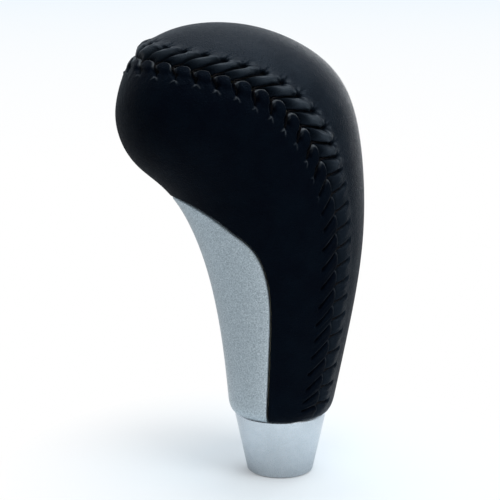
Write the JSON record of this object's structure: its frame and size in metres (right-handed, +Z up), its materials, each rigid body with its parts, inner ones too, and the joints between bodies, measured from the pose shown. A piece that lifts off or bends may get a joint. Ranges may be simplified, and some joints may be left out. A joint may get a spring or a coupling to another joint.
{
  "type": "gear shift knob",
  "caption": "Leather-lapped gear shift knob with a hooked head, a laced seam, a silver front trim and a tapered collar that stands upright.",
  "frame": {"origin": "middle of the collar's foot, on the lever's axis", "axes": "+Z up the lever to the top of the head, -X toward the nose and the front of the car, -Y the side that the picture shows"},
  "size_m": [0.0662, 0.0452, 0.1228],
  "materials": {
    "collar_metal": "satin blasted, clear anodised",
    "bush_nylon": "moulded nylon",
    "fastener_steel": "zinc plated",
    "insert_steel": "turned",
    "core_nylon": "glass-filled nylon",
    "foam": "moulded polyurethane foam",
    "side_leather": "smooth semi-matt leather",
    "back_leather": "smooth semi-matt leather",
    "thread": "twisted polyester thread",
    "silver_trim": "satin silver flake paint on ABS",
    "spring_steel": "bright spring steel"
  },
  "bodies": {
    "root": {"collar": "collar_metal", "guide_bush": "bush_nylon", "collar_screw_1": "fastener_steel", "collar_screw_2": "fastener_steel", "collar_screw_3": "fastener_steel", "lever_insert": "insert_steel", "core": "core_nylon", "foam_body": "foam", "side_panel": "side_leather", "back_panel": "back_leather", "seam_thread": "thread", "front_trim": "silver_trim", "trim_clip_1": "spring_steel", "trim_clip_2": "spring_steel", "trim_clip_3": "spring_steel", "trim_clip_4": "spring_steel"}
  },
  "joints": []
}
